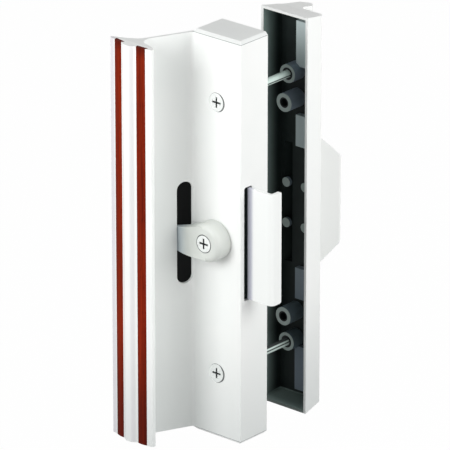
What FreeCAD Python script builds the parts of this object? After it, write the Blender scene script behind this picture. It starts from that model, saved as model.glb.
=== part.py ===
import FreeCAD, Part
import math
import operator
import os
import Sketcher

# Sliding patio door handle set, as it stands on a one-inch door leaf. The inside pull is one aluminium extrusion:
# a box section against the door, a thin web that leans away from it, and a wide grip flange with two wood strips.
# A thumb lever turns on the box's front wall and its arm sweeps through a slot in the web. An eccentric on the
# lever's cam swings a clamp plate, whose hook comes out of the box's side and holds the keeper on the door frame.
# Two long screws pass through the box and the door into bosses in the hollow, cast outside pull.
#
# Frame: the origin is on the inside pull's door face, midway between the mounting screws. X runs towards the
# clamp plate, Y into the door and out to the outside pull, and Z up.

SIZES = {
    # inside pull: box section
    "pull_length": 183.0,
    "box_width": 27.0,
    "box_depth": 17.5,
    "front_wall": 2.2,
    "side_wall": 1.6,
    "box_edge_radius": 0.6,
    "ledge_reach": 1.0,
    "ledge_thickness": 1.2,
    # inside pull: web and its slot
    "web_lean": 24.5,
    "web_thickness": 1.4,
    "web_length": 25.2,
    "web_back_length": 24.2,
    "web_front_fillet": 2.0,
    "grip_front_fillet": 5.0,
    "grip_back_fillet": 6.0,
    "slot_start": 0.3,
    "slot_width": 7.4,
    "slot_half_length": 23.6,
    # inside pull: grip flange, each corner by its distance left of the middle and in front of the door
    "lip_back_across": 11.9,
    "lip_back_out": 44.1,
    "lip_front_across": 11.1,
    "lip_front_out": 46.7,
    "swell_right_across": 20.3,
    "swell_right_out": 47.2,
    "swell_crown_right_across": 22.4,
    "swell_crown_left_across": 25.3,
    "swell_crown_out": 48.6,
    "swell_left_across": 27.4,
    "swell_left_out": 47.1,
    "rim_across": 33.4,
    "rim_out": 45.7,
    "tip_across": 35.8,
    "tip_front_out": 45.3,
    "tip_back_out": 44.3,
    "grip_hollow_across": 31.0,
    "grip_hollow_out": 42.3,
    "swell_radius": 2.0,
    "lip_radius": 1.0,
    "tip_radius": 0.45,
    # wood strips in dovetail grooves
    "strip_width": 4.9,
    "strip_depth": 1.5,
    "strip_undercut": 0.5,
    "strip_crown": 0.35,
    "outer_strip_place": 0.52,
    "inner_strip_place": 0.36,
    # openings in the box
    "screw_spacing": 125.4,
    "screw_hole_radius": 2.0,
    "countersink_radius": 4.4,
    "pivot_across": 0.5,
    "pivot_bore_radius": 4.05,
    "window_front": 15.2,
    "window_back": 10.0,
    "window_half_height": 26.2,
    "window_corner_radius": 1.0,
    # end caps
    "cap_thickness": 1.5,
    "cap_chamfer": 1.3,
    "cap_plug_length": 7.0,
    "cap_plug_wall": 1.4,
    "cap_plug_gap": 0.1,
    # mounting screws
    "screw_head_radius": 4.2,
    "screw_head_land": 0.3,
    "screw_cone_height": 1.9,
    "screw_radius": 1.75,
    "mounting_screw_end": 35.0,
    "recess_length": 4.8,
    "recess_width": 0.9,
    "recess_depth": 1.5,
    # thumb lever, the arm's reaches measured from the pivot
    "washer_thickness": 0.5,
    "washer_radius": 8.4,
    "lever_base_radius": 8.8,
    "lever_face_radius": 8.6,
    "lever_thickness": 7.6,
    "lever_crown_radius": 2.5,
    "lever_droop": 9.0,
    "shank_radius": 4.0,
    "key_width": 5.0,
    "arm_root_reach": 1.6,
    "arm_root_half_height": 7.6,
    "arm_back_gap": 0.3,
    "arm_step_reach": 10.5,
    "arm_back_step": 2.8,
    "arm_bend_start": 5.5,
    "arm_bend_end": 17.5,
    "arm_bend_fall": 2.17,
    "arm_bend_radius": 34.2,
    "arm_neck_reach": 18.5,
    "arm_neck_half_height": 5.4,
    "arm_tip_fall": 2.8,
    "arm_tip_half_height": 5.8,
    "arm_tip_radius": 5.5,
    "arm_reach": 29.6,
    "lever_screw_length": 17.5,
    "lever_screw_head_radius": 3.8,
    # cam behind the front wall
    "cam_spring_height": 0.6,
    "cam_spring_sheet": 0.3,
    "cam_spring_inside": 4.3,
    "cam_spring_outside": 6.0,
    "cam_radius": 6.2,
    "cam_thickness": 1.3,
    "cam_key_gap": 0.05,
    "eccentric_radius": 4.5,
    "eccentric_offset": 0.95,
    "eccentric_length": 6.4,
    # latch frame and its hinge pin
    "frame_thickness": 1.5,
    "frame_half_length": 72.0,
    "frame_side_gap": 0.15,
    "hinge_across": 8.0,
    "hinge_out": 4.4,
    "ear_radius": 2.4,
    "ear_thickness": 1.6,
    "frame_ear_start": 26.0,
    "pin_radius": 1.5,
    "pin_head_radius": 2.4,
    "pin_head_height": 1.2,
    "pin_tail": 1.9,
    "clip_groove_radius": 1.1,
    "clip_thickness": 0.6,
    "clip_radius": 2.7,
    "clip_mouth": 1.9,
    "running_gap": 0.05,
    # clamp plate
    "plate_front": 10.8,
    "plate_thickness": 1.4,
    "plate_left_across": 10.5,
    "plate_half_height": 25.7,
    "plate_ear_inner": 24.1,
    "joggle_start_across": 4.5,
    "joggle_end_across": 5.6,
    "joggle_setback": 0.85,
    "leaf_front": 12.9,
    "hook_across": 27.3,
    "hook_end_out": 6.8,
    "hook_inside_radius": 0.9,
    "hook_outside_radius": 2.3,
    "hook_corner_radius": 1.0,
    "eccentric_slot_gap": 0.3,
    "eccentric_slot_rise": 0.6,
    # lever guard
    "guard_sheet": 1.4,
    "guard_out": 13.9,
    "guard_back_out": 4.0,
    "guard_reach": 28.5,
    "guard_half_height": 33.0,
    "guard_corner_radius": 4.0,
    "rivet_height": 28.5,
    "rivet_out": 8.0,
    "rivet_radius": 1.2,
    "rivet_head_radius": 2.2,
    "rivet_head_height": 0.9,
    # outside pull
    "door_thickness": 25.4,
    "rim_left": 12.0,
    "rim_right": 14.1,
    "case_length": 184.6,
    "case_back": 37.8,
    "case_back_right": 12.5,
    "case_wall": 1.2,
    "cavity_taper": 8.0,
    "end_fall_out": 36.5,
    "end_fall": 2.0,
    "case_floor": 36.0,
    "case_corner_radius": 2.2,
    "fin_root_left": 10.6,
    "fin_root_out": 35.0,
    "fin_shoulder_left": 5.7,
    "fin_shoulder_out": 43.7,
    "fin_end_left": 0.9,
    "fin_end_out": 45.8,
    "fin_lip_right": 2.2,
    "fin_lip_out": 43.2,
    "fin_foot_left": 2.4,
    "fin_foot_radius": 2.0,
    "fin_end_radius": 1.3,
    "horn_outer_right": 5.2,
    "horn_outer_out": 55.8,
    "horn_tip_right": 10.2,
    "horn_tip_out": 53.9,
    "horn_half_root": 30.5,
    "horn_half_end": 17.5,
    "horn_end_radius": 1.0,
    "core_half_length": 28.0,
    "core_left": 8.0,
    "core_right": 3.2,
    "core_end_left": 4.6,
    "core_end_right": 1.6,
    "core_out": 42.6,
    "boss_radius": 4.2,
    "boss_face": 28.8,
    "boss_hole_radius": 1.78,
    "spare_boss_spacing": 100.0,
    "spare_boss_face": 26.6,
    "spare_hole_radius": 1.85,
    "boss_hole_end": 35.4,
    "peg_radius": 2.15,
    "peg_across": 5.3,
    "peg_height": 9.5,
    "peg_face": 34.4,
    "pad_left": 1.3,
    "pad_face": 33.0,
    "pad_inner_low": 28.5,
    "pad_inner_high": 43.0,
    "pad_outer_low": 65.5,
    "pad_outer_high": 86.3,
}


HALF_ROUND = "half round"
STRIP_GAP = 0.03


class Size:
    """A number together with the sheet formula that gives it, so one expression serves both."""

    def __init__(self, value, formula):
        self.value = value
        self.formula = formula

    def __add__(self, other):
        return combine(self, "+", other, operator.add)

    def __radd__(self, other):
        return combine(other, "+", self, operator.add)

    def __sub__(self, other):
        return combine(self, "-", other, operator.sub)

    def __rsub__(self, other):
        return combine(other, "-", self, operator.sub)

    def __mul__(self, other):
        return combine(self, "*", other, operator.mul)

    def __rmul__(self, other):
        return combine(other, "*", self, operator.mul)

    def __truediv__(self, other):
        return combine(self, "/", other, operator.truediv)

    def __neg__(self):
        return combine(0, "-", self, operator.sub)


def as_size(number):
    return number if isinstance(number, Size) else Size(float(number), str(float(number)))


def combine(left, sign, right, work):
    left, right = as_size(left), as_size(right)
    return Size(work(left.value, right.value), f"({left.formula} {sign} {right.formula})")


def size(name):
    return Size(SIZES[name], f"Sizes.{name}")


def sine(angle):
    return Size(math.sin(math.radians(angle.value)), f"sin({angle.formula})")


def cosine(angle):
    return Size(math.cos(math.radians(angle.value)), f"cos({angle.formula})")


def slope_angle(rise, run):
    return Size(math.degrees(math.atan(rise.value / run.value)), f"atan({rise.formula} / {run.formula})")


def bind(item, field, number):
    item.setExpression(field, as_size(number).formula)


def fill_sheet(doc):
    sheet = doc.addObject("Spreadsheet::Sheet", "Sizes")
    for row, (name, value) in enumerate(SIZES.items(), start=1):
        sheet.set(f"A{row}", name)
        sheet.set(f"B{row}", str(value))
        sheet.setAlias(f"B{row}", name)
    doc.recompute()


def place(item, across=0.0, out=0.0, up=0.0, axis=(0, 0, 1), angle=0.0, field="Placement"):
    """Puts an item at a bound position, turned about an axis; field may name a sketch's attachment offset."""
    position = FreeCAD.Vector(as_size(across).value, as_size(out).value, as_size(up).value)
    turn = FreeCAD.Rotation(FreeCAD.Vector(*axis), as_size(angle).value)
    setattr(item, field, FreeCAD.Placement(position, turn))
    for letter, number in (("x", across), ("y", out), ("z", up)):
        bind(item, f"{field}.Base.{letter}", number)
    if isinstance(angle, Size):
        bind(item, f"{field}.Rotation.Angle", angle)


def new_body(doc, name):
    body = doc.addObject("PartDesign::Body", name)
    body.Label = name
    return body


def new_sketch(body, name, role, **offset):
    """A sketch on one of the body's own origin planes, moved by an offset in the plane's own directions."""
    sketch = body.newObject("Sketcher::SketchObject", name)
    plane = next(feature for feature in body.Origin.OriginFeatures if feature.Role == role)
    sketch.AttachmentSupport = [(plane, "")]
    sketch.MapMode = "FlatFace"
    if offset:
        place(sketch, field="AttachmentOffset", **offset)
    return sketch


def flat_sketch(doc, name, axis=(1, 0, 0), angle=0.0):
    sketch = doc.addObject("Sketcher::SketchObject", name)
    sketch.Placement = FreeCAD.Placement(FreeCAD.Vector(), FreeCAD.Rotation(FreeCAD.Vector(*axis), angle))
    return sketch


def fix_coordinate(sketch, kind, line, end, number):
    """Holds one point of a line at a bound distance from the sketch's origin, across or up."""
    number = as_size(number)
    index = sketch.addConstraint(Sketcher.Constraint(kind, -1, 1, line, end, number.value))
    name = f"{kind}_{line}_{end}"
    sketch.renameConstraint(index, name)
    bind(sketch, f"Constraints.{name}", number)


def fix_point(sketch, line, end, x, y):
    fix_coordinate(sketch, "DistanceX", line, end, x)
    fix_coordinate(sketch, "DistanceY", line, end, y)


def arc_between(start, end, radius):
    """The arc from start to end, its centre left of the way for a positive radius and right of it for a negative."""
    middle = (start + end) * 0.5
    along = end - start
    left = FreeCAD.Vector(-along.y, along.x, 0).normalize()
    reach = math.sqrt(radius * radius - along.Length ** 2 / 4)
    centre = middle + left * math.copysign(reach, radius)
    first, last = (start, end) if radius > 0 else (end, start)
    circle = Part.Circle(centre, FreeCAD.Vector(0, 0, 1), abs(radius))
    angles = [math.atan2(point.y - centre.y, point.x - centre.x) for point in (first, last)]
    return Part.ArcOfCircle(circle, angles[0], angles[1])


def half_round_between(start, end):
    """The half circle that runs counterclockwise from start to end."""
    middle = (start + end) * 0.5
    circle = Part.Circle(middle, FreeCAD.Vector(0, 0, 1), (end - start).Length / 2)
    first = math.atan2(start.y - middle.y, start.x - middle.x)
    return Part.ArcOfCircle(circle, first, first + math.pi)


def draw_side(sketch, start, end, shape):
    """Adds the line, arc or half round from start to end. Returns its number and those of its two ends."""
    if shape is None:
        return sketch.addGeometry(Part.LineSegment(start, end)), 1, 2
    if shape == HALF_ROUND:
        return sketch.addGeometry(half_round_between(start, end)), 1, 2
    radius = as_size(shape)
    line = sketch.addGeometry(arc_between(start, end, radius.value))
    bind_radius(sketch, line, -radius if radius.value < 0 else radius)
    return (line, 2, 1) if radius.value < 0 else (line, 1, 2)


def bind_radius(sketch, line, radius):
    index = sketch.addConstraint(Sketcher.Constraint("Radius", line, radius.value))
    sketch.renameConstraint(index, f"Radius_{line}")
    bind(sketch, f"Constraints.Radius_{line}", radius)


def draw_outline(sketch, corners):
    """A closed outline through the corners. A third entry gives the radius of an arc to the next corner, or says
    that a half round about a level diameter leads there."""
    points = [FreeCAD.Vector(as_size(corner[0]).value, as_size(corner[1]).value, 0) for corner in corners]
    sides = []
    for number, corner in enumerate(corners):
        shape = corner[2] if len(corner) > 2 else None
        sides.append(draw_side(sketch, points[number], points[(number + 1) % len(points)], shape))
    for number, corner in enumerate(corners):
        line, start, end = sides[number]
        previous_line, previous_start, previous_end = sides[number - 1]
        sketch.addConstraint(Sketcher.Constraint("Coincident", previous_line, previous_end, line, start))
        fix_point(sketch, line, start, corner[0], corner[1])
        if len(corner) > 2 and corner[2] == HALF_ROUND:
            fix_coordinate(sketch, "DistanceY", line, 3, corner[1])


def draw_box(sketch, left, low, right, high):
    draw_outline(sketch, [(left, low), (right, low), (right, high), (left, high)])


def draw_circle(sketch, x, y, radius):
    radius = as_size(radius)
    middle = FreeCAD.Vector(as_size(x).value, as_size(y).value, 0)
    line = sketch.addGeometry(Part.Circle(middle, FreeCAD.Vector(0, 0, 1), radius.value))
    bind_radius(sketch, line, radius)
    fix_point(sketch, line, 3, x, y)


def draw_slot(sketch, x, y, half_length, radius):
    """An upright slot with round ends."""
    straight = half_length - radius
    draw_outline(sketch, [(x + radius, y - straight), (x + radius, y + straight, HALF_ROUND),
                          (x - radius, y + straight), (x - radius, y - straight, HALF_ROUND)])


def extrude(body, kind, name, sketch, length, both_ways=False, reverse=False):
    """Pads along the sketch's normal or pockets against it; reverse swaps that."""
    feature = body.newObject(f"PartDesign::{kind}", name)
    feature.Profile = sketch
    feature.SideType = "Symmetric" if both_ways else "One side"
    feature.Reversed = reverse
    bind(feature, "Length", length)
    sketch.Visibility = False
    return feature


def pad(body, name, sketch, length, **ways):
    return extrude(body, "Pad", name, sketch, length, **ways)


def pocket(body, name, sketch, length, **ways):
    """A pocket, checked for having taken something away."""
    document = body.Document
    document.recompute()
    before = body.Shape.Volume
    feature = extrude(body, "Pocket", name, sketch, length, **ways)
    document.recompute()
    if body.Shape.Volume > before - 1e-3:
        raise RuntimeError(f"{name} in {body.Label} cuts nothing")
    return feature


def edges_where(shape, wanted):
    return [f"Edge{number}" for number, edge in enumerate(shape.Edges, start=1) if wanted(edge)]


def dress(body, kind, name, field, number, wanted):
    """A fillet or chamfer on the tip's edges for which wanted is true."""
    body.Document.recompute()
    tip = body.Tip
    names = edges_where(tip.Shape, wanted)
    if not names:
        raise RuntimeError(f"{name} in {body.Label} finds no edge")
    feature = body.newObject(f"PartDesign::{kind}", name)
    feature.Base = (tip, names)
    bind(feature, field, number)
    body.Document.recompute()
    return feature


def fillet(body, name, radius, wanted):
    return dress(body, "Fillet", name, "Radius", radius, wanted)


def chamfer(body, name, width, wanted):
    return dress(body, "Chamfer", name, "Size", width, wanted)


def box_of(edge):
    return edge.BoundBox


def near(first, second, margin=0.02):
    return abs(first - second) < margin


def upright_at(places):
    """True for a straight upright edge that stands at one of the places."""
    spots = [(as_size(x).value, as_size(y).value) for x, y in places]

    def wanted(edge):
        box = box_of(edge)
        if box.XLength > 1e-3 or box.YLength > 1e-3:
            return False
        return any(near(box.XMin, x) and near(box.YMin, y) for x, y in spots)

    return wanted


def primitive(doc, kind, name, **numbers):
    item = doc.addObject(f"Part::{kind}", name)
    for field, number in numbers.items():
        bind(item, field, number)
    return item


def fuse(doc, name, pieces):
    item = doc.addObject("Part::MultiFuse", name)
    item.Shapes = pieces
    return item


def common(doc, name, pieces):
    item = doc.addObject("Part::MultiCommon", name)
    item.Shapes = pieces
    return item


def cut(doc, name, base, tool):
    item = doc.addObject("Part::Cut", name)
    item.Base = base
    item.Tool = tool
    return item


def extrusion(doc, name, sketch, length, direction):
    item = doc.addObject("Part::Extrusion", name)
    item.Base = sketch
    item.DirMode = "Custom"
    item.Dir = FreeCAD.Vector(*direction)
    item.Symmetric = True
    item.Solid = True
    bind(item, "LengthFwd", length)
    return item


# Places that several pieces share, as bound sizes

HALF_BOX = size("box_width") / 2
HALF_LENGTH = size("pull_length") / 2
SCREW_HEIGHT = size("screw_spacing") / 2
FRONT_INSIDE = size("box_depth") - size("front_wall")
WEB_TURN = 90 - size("web_lean")
LEVER_BACK = size("box_depth") + size("washer_thickness")
LEVER_FACE = LEVER_BACK + size("lever_thickness")
CAM_FRONT = FRONT_INSIDE - size("cam_spring_height")
CAM_BACK = CAM_FRONT - size("cam_thickness")


def web_point(along, depth=0.0):
    """A point on the web, by its distance from the box's front corner and its depth behind the visible face."""
    x = -HALF_BOX - along * sine(size("web_lean")) - depth * cosine(size("web_lean"))
    y = -size("box_depth") - along * cosine(size("web_lean")) + depth * sine(size("web_lean"))
    return x, y


def grip_point(name, out=None):
    return -size(f"{name}_across"), -size(out or f"{name}_out")


def strip_seat(which):
    """Middle and turn of a wood strip's seat on the grip's front, for the outer or the inner strip."""
    if which == "outer":
        left, right = grip_point("rim"), grip_point("swell_left")
    else:
        left, right = grip_point("swell_right"), grip_point("lip_front")
    part = size(f"{which}_strip_place")
    rise = right[1] - left[1]
    run = right[0] - left[0]
    return left[0] + run * part, left[1] + rise * part, slope_angle(rise, run)


def pull_outline():
    """Corners of the extrusion's section, clockwise from the box's back right corner."""
    inner_side = HALF_BOX - size("side_wall")
    ledge = inner_side - size("ledge_reach")
    seat = size("frame_thickness")
    ledge_front = seat + size("ledge_thickness")
    web_joint = size("web_thickness") / sine(size("web_lean"))
    section = [(HALF_BOX, 0), (HALF_BOX, -size("box_depth")), (-HALF_BOX, -size("box_depth"))]
    section += [web_point(size("web_length"))]
    section += [grip_point("lip_back"), grip_point("lip_front"), grip_point("swell_right")]
    section += [grip_point("swell_crown_right", "swell_crown_out"), grip_point("swell_crown_left", "swell_crown_out")]
    section += [grip_point("swell_left"), grip_point("rim")]
    section += [grip_point("tip", "tip_front_out"), grip_point("tip", "tip_back_out"), grip_point("grip_hollow")]
    section += [web_point(size("web_back_length"), size("web_thickness"))]
    section += [(-HALF_BOX, web_joint - size("box_depth")), (-HALF_BOX, 0), (-inner_side, 0)]
    section += [(-inner_side, -seat), (-ledge, -seat), (-ledge, -ledge_front), (-inner_side, -ledge_front)]
    section += [(-inner_side, -FRONT_INSIDE), (inner_side, -FRONT_INSIDE)]
    section += [(inner_side, -ledge_front), (ledge, -ledge_front), (ledge, -seat), (inner_side, -seat)]
    section += [(inner_side, 0)]
    return section


def build_inside_pull(doc):
    body = new_body(doc, "inside_pull")
    section = new_sketch(body, "PullSection", "XY_Plane")
    draw_outline(section, pull_outline())
    pad(body, "Extrusion", section, size("pull_length"), both_ways=True)
    round_pull(body)
    for which in ("outer", "inner"):
        x, y, turn = strip_seat(which)
        groove = new_sketch(body, f"{which.title()}Groove", "XY_Plane", across=x, out=y, angle=turn)
        draw_dovetail(groove, 1.0)
        pocket(body, f"{which.title()}GrooveCut", groove, size("pull_length") + 2, both_ways=True)
    cut_web_slot(body)
    cut_box_openings(body)
    cut_countersinks(body)
    return body


def round_pull(body):
    """Rounds the corners of the drawn section, each group by its own radius."""
    web_root = web_point(size("web_length"))
    web_back_root = web_point(size("web_back_length"), size("web_thickness"))
    swell = [grip_point("swell_right"), grip_point("swell_left"),
             grip_point("swell_crown_right", "swell_crown_out"), grip_point("swell_crown_left", "swell_crown_out")]
    tip = [grip_point("tip", "tip_front_out"), grip_point("tip", "tip_back_out")]
    lip = [grip_point("lip_back"), grip_point("lip_front")]
    groups = [
        ("BoxEdge", "box_edge_radius", [(HALF_BOX, -size("box_depth"))]),
        ("WebFrontFillet", "web_front_fillet", [(-HALF_BOX, -size("box_depth"))]),
        ("GripFrontFillet", "grip_front_fillet", [web_root]),
        ("GripBackFillet", "grip_back_fillet", [web_back_root]),
        ("SwellRounding", "swell_radius", swell),
        ("LipRounding", "lip_radius", lip),
        ("TipRounding", "tip_radius", tip),
    ]
    for name, radius, places in groups:
        fillet(body, name, size(radius), upright_at(places))


def draw_dovetail(sketch, overshoot):
    """A strip groove's section: narrow at the surface, wider at its floor, and open by the overshoot above."""
    mouth = size("strip_width") / 2
    floor = mouth + size("strip_undercut")
    depth = size("strip_depth")
    draw_outline(sketch, [(-mouth, -overshoot), (mouth, -overshoot), (mouth, 0), (floor, depth),
                          (-floor, depth), (-mouth, 0)])


def cut_web_slot(body):
    """The upright slot, cut square through the leaning web; the sketch's X runs back towards the box corner."""
    slot = new_sketch(body, "WebSlot", "XZ_Plane", across=-HALF_BOX, up=size("box_depth"), axis=(0, 1, 0),
                      angle=WEB_TURN)
    radius = size("slot_width") / 2
    draw_slot(slot, -size("slot_start") - radius, 0, size("slot_half_length"), radius)
    pocket(body, "WebSlotCut", slot, size("web_thickness") * 4, both_ways=True)


def cut_box_openings(body):
    front = new_sketch(body, "FrontHoles", "XZ_Plane", up=size("box_depth") + 1)
    draw_circle(front, 0, SCREW_HEIGHT, size("screw_hole_radius"))
    draw_circle(front, 0, -SCREW_HEIGHT, size("screw_hole_radius"))
    draw_circle(front, -size("pivot_across"), 0, size("pivot_bore_radius"))
    pocket(body, "FrontHolesCut", front, size("front_wall") + 2)
    window = new_sketch(body, "Window", "YZ_Plane", up=HALF_BOX + 1)
    draw_box(window, -size("window_front"), -size("window_half_height"), -size("window_back"),
             size("window_half_height"))
    pocket(body, "WindowCut", window, size("side_wall") + 2)
    corners = [(-size("window_front")).value, (-size("window_back")).value]

    def window_corner(edge):
        box = box_of(edge)
        upright = near(abs(box.ZMin), SIZES["window_half_height"]) and box.ZLength < 1e-3
        return upright and box.XMin > 0 and box.YLength < 1e-3 and any(near(box.YMin, y) for y in corners)

    fillet(body, "WindowCorners", size("window_corner_radius"), window_corner)
    rivets = new_sketch(body, "RivetHoles", "YZ_Plane", up=-HALF_BOX - 1)
    for side in (-1, 1):
        draw_circle(rivets, -size("rivet_out"), side * size("rivet_height"), size("rivet_radius"))
    pocket(body, "RivetHolesCut", rivets, size("side_wall") + 2, reverse=True)


def cut_countersinks(body):
    """Widens both screw holes with a turned groove about each screw's axis."""
    for name, side in (("Upper", 1), ("Lower", -1)):
        height = side * SCREW_HEIGHT
        profile = new_sketch(body, f"{name}Countersink", "XY_Plane", up=height)
        wide, narrow = size("countersink_radius"), size("screw_hole_radius")
        face = -size("box_depth")
        draw_outline(profile, [(0, face - 0.5), (wide, face - 0.5), (wide, face),
                               (narrow, face + size("screw_cone_height")), (0, face + size("screw_cone_height"))])
        groove = body.newObject("PartDesign::Groove", f"{name}CountersinkCut")
        groove.Profile = profile
        groove.ReferenceAxis = (profile, ["V_Axis"])
        groove.Angle = 360
        profile.Visibility = False


def build_end_cap(doc, name, turn):
    """A flat cap with chamfered edges on a hollow plug; the lower one is the upper one turned half round."""
    body = new_body(doc, name)
    place(body, axis=(0, 1, 0), angle=turn)
    plate = new_sketch(body, "CapOutline", "XY_Plane", up=HALF_LENGTH)
    draw_box(plate, -HALF_BOX, -size("box_depth"), HALF_BOX, 0)
    pad(body, "CapPlate", plate, size("cap_thickness"))
    top = (HALF_LENGTH + size("cap_thickness")).value

    def top_edge(edge):
        box = box_of(edge)
        return near(box.ZMin, top) and not (near(box.YMin, 0) and near(box.YMax, 0))

    chamfer(body, "CapBevel", size("cap_chamfer"), top_edge)
    gap = size("cap_plug_gap")
    wall = size("cap_plug_wall")
    side = HALF_BOX - size("side_wall") - gap
    front = FRONT_INSIDE - gap
    back = size("frame_thickness") + size("ledge_thickness") + gap
    plug = new_sketch(body, "PlugOutline", "XY_Plane", up=HALF_LENGTH)
    draw_box(plug, -side, -front, side, -back)
    draw_box(plug, wall - side, wall - front, side - wall, -back - wall)
    pad(body, "Plug", plug, size("cap_plug_length"), reverse=True)
    return body


def build_wood_strip(doc, which):
    """A dovetail strip that fills its groove and stands a little proud with a rounded crown."""
    body = new_body(doc, f"{which}_wood_strip")
    x, y, turn = strip_seat(which)
    place(body, x, y, 0, angle=turn)
    section = new_sketch(body, "StripSection", "XY_Plane")
    mouth = size("strip_width") / 2 - STRIP_GAP
    floor = mouth + size("strip_undercut")
    depth = size("strip_depth") - STRIP_GAP
    crown = size("strip_crown")
    crown_radius = (mouth * mouth + crown * crown) / (crown * 2)
    draw_outline(section, [(-mouth, 0, crown_radius), (mouth, 0), (floor, depth), (-floor, depth)])
    pad(body, "Strip", section, size("pull_length"), both_ways=True)
    return body


def build_screw(doc, name, head_radius, length):
    """A flat-head screw with a cross recess, its head's face at the local origin and its shaft along local Z."""
    land = primitive(doc, "Cylinder", f"{name}_land", Radius=head_radius, Height=size("screw_head_land"))
    cone = primitive(doc, "Cone", f"{name}_cone", Radius1=head_radius, Radius2=size("screw_radius"),
                     Height=size("screw_cone_height"))
    place(cone, up=size("screw_head_land"))
    shaft = primitive(doc, "Cylinder", f"{name}_shaft", Radius=size("screw_radius"), Height=length)
    blank = fuse(doc, f"{name}_blank", [land, cone, shaft])
    arms = []
    for number in range(2):
        arm = primitive(doc, "Box", f"{name}_recess_{number}", Length=size("recess_length"),
                        Width=size("recess_width"), Height=size("recess_depth") + 1)
        turn = FreeCAD.Rotation(FreeCAD.Vector(0, 0, 1), 90 * number)
        corner = FreeCAD.Vector(-SIZES["recess_length"] / 2, -SIZES["recess_width"] / 2, -1)
        arm.Placement = FreeCAD.Placement(turn.multVec(corner), turn)
        arms.append(arm)
    recess = fuse(doc, f"{name}_recess", arms)
    return cut(doc, name, blank, recess)


def build_mounting_screws(doc):
    length = size("mounting_screw_end") + size("box_depth") + size("screw_head_land")
    for name, side in (("upper", 1), ("lower", -1)):
        item = build_screw(doc, f"{name}_mounting_screw", size("screw_head_radius"), length)
        place(item, 0, -size("box_depth") - size("screw_head_land"), side * SCREW_HEIGHT, axis=(1, 0, 0), angle=-90)


def arm_plan(doc):
    """The lever arm seen from above: flat by the base, then falling in an even bend to pass through the web."""
    sketch = flat_sketch(doc, "ArmPlan")
    face = -LEVER_FACE
    back = -LEVER_BACK - size("arm_back_gap")
    step = back - size("arm_back_step")
    draw_outline(sketch, [
        (0, back), (-size("arm_step_reach"), back), (-size("arm_step_reach"), step), (-size("arm_reach"), step),
        (-size("arm_reach"), face + size("arm_tip_fall")),
        (-size("arm_bend_end"), face + size("arm_bend_fall"), size("arm_bend_radius")),
        (-size("arm_bend_start"), face), (0, face)])
    return sketch


def arm_front(doc):
    """The lever arm seen from the front: tapered from the round base to the web, with a rounded tip."""
    sketch = flat_sketch(doc, "ArmFront", angle=90.0)
    root, neck, tip = (size(f"arm_{place_name}_half_height") for place_name in ("root", "neck", "tip"))
    reach, root_reach = size("arm_reach"), size("arm_root_reach")
    start = reach - size("arm_tip_radius")
    straight = tip - size("arm_tip_radius")
    draw_outline(sketch, [
        (0, -root), (0, root), (-root_reach, root), (-size("arm_neck_reach"), neck),
        (-start, tip, size("arm_tip_radius")), (-reach, straight), (-reach, -straight, size("arm_tip_radius")),
        (-start, -tip), (-size("arm_neck_reach"), -neck), (-root_reach, -root)])
    return sketch


def round_shape(doc, name, base, radius, wanted):
    """A fillet on a shape's edges for which wanted is true."""
    doc.recompute()
    item = doc.addObject("Part::Fillet", name)
    item.Base = base
    item.Edges = [(number, radius, radius) for number, edge in enumerate(base.Shape.Edges, start=1) if wanted(edge)]
    return item


def build_lever_arm(doc):
    """The lever's arm: the solid that both of its outlines share, turned down by the droop."""
    deep = size("arm_root_half_height") * 4
    plan = extrusion(doc, "ArmPlanSolid", arm_plan(doc), deep, (0, 0, 1))
    front = extrusion(doc, "ArmFrontSolid", arm_front(doc), deep * 2, (0, 1, 0))
    arm = common(doc, "LeverArm", [plan, front])
    place(arm, axis=(0, 1, 0), angle=-size("lever_droop"))
    return arm


def build_thumb_lever(doc):
    """The cast lever: a round crowned base on a keyed shank, with the tapered arm turned down by its droop."""
    cone = primitive(doc, "Cone", "LeverCone", Radius1=size("lever_base_radius"), Radius2=size("lever_face_radius"),
                     Height=size("lever_thickness"))
    height = SIZES["lever_thickness"]
    base = round_shape(doc, "LeverBase", cone, SIZES["lever_crown_radius"],
                       lambda edge: near(box_of(edge).ZMin, height))
    place(base, out=-LEVER_BACK, axis=(1, 0, 0), angle=90)
    shank = primitive(doc, "Cylinder", "LeverShank", Radius=size("shank_radius"), Height=LEVER_BACK - FRONT_INSIDE + 1)
    place(shank, out=-FRONT_INSIDE, axis=(1, 0, 0), angle=90)
    width = size("key_width")
    key = primitive(doc, "Box", "LeverKey", Length=width, Width=FRONT_INSIDE - CAM_BACK + 1, Height=width)
    place(key, -width / 2, -FRONT_INSIDE - 1, -width / 2)
    blank = fuse(doc, "LeverBlank", [base, shank, key, build_lever_arm(doc)])
    hole = primitive(doc, "Cylinder", "LeverHole", Radius=size("screw_radius") + 0.15, Height=LEVER_FACE)
    place(hole, out=-CAM_BACK + 1, axis=(1, 0, 0), angle=90)
    sink_depth = size("screw_head_land") + size("screw_cone_height")
    sink = primitive(doc, "Cone", "LeverSink", Radius1=size("screw_radius") + 0.1,
                     Radius2=size("lever_screw_head_radius") + 0.45, Height=sink_depth)
    place(sink, out=sink_depth - LEVER_FACE, axis=(1, 0, 0), angle=90)
    lever = cut(doc, "thumb_lever", blank, fuse(doc, "LeverHoles", [hole, sink]))
    place(lever, across=-size("pivot_across"))


def build_lever_washer(doc):
    ring = primitive(doc, "Cylinder", "WasherRing", Radius=size("washer_radius"), Height=size("washer_thickness"))
    bore = primitive(doc, "Cylinder", "WasherBore", Radius=size("shank_radius") + 0.15,
                     Height=size("washer_thickness"))
    washer = cut(doc, "lever_washer", ring, bore)
    place(washer, -size("pivot_across"), -size("box_depth"), 0, axis=(1, 0, 0), angle=90)


def build_lever_screw(doc):
    item = build_screw(doc, "lever_screw", size("lever_screw_head_radius"), size("lever_screw_length"))
    place(item, -size("pivot_across"), -LEVER_FACE, 0, axis=(1, 0, 0), angle=-90)


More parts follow.
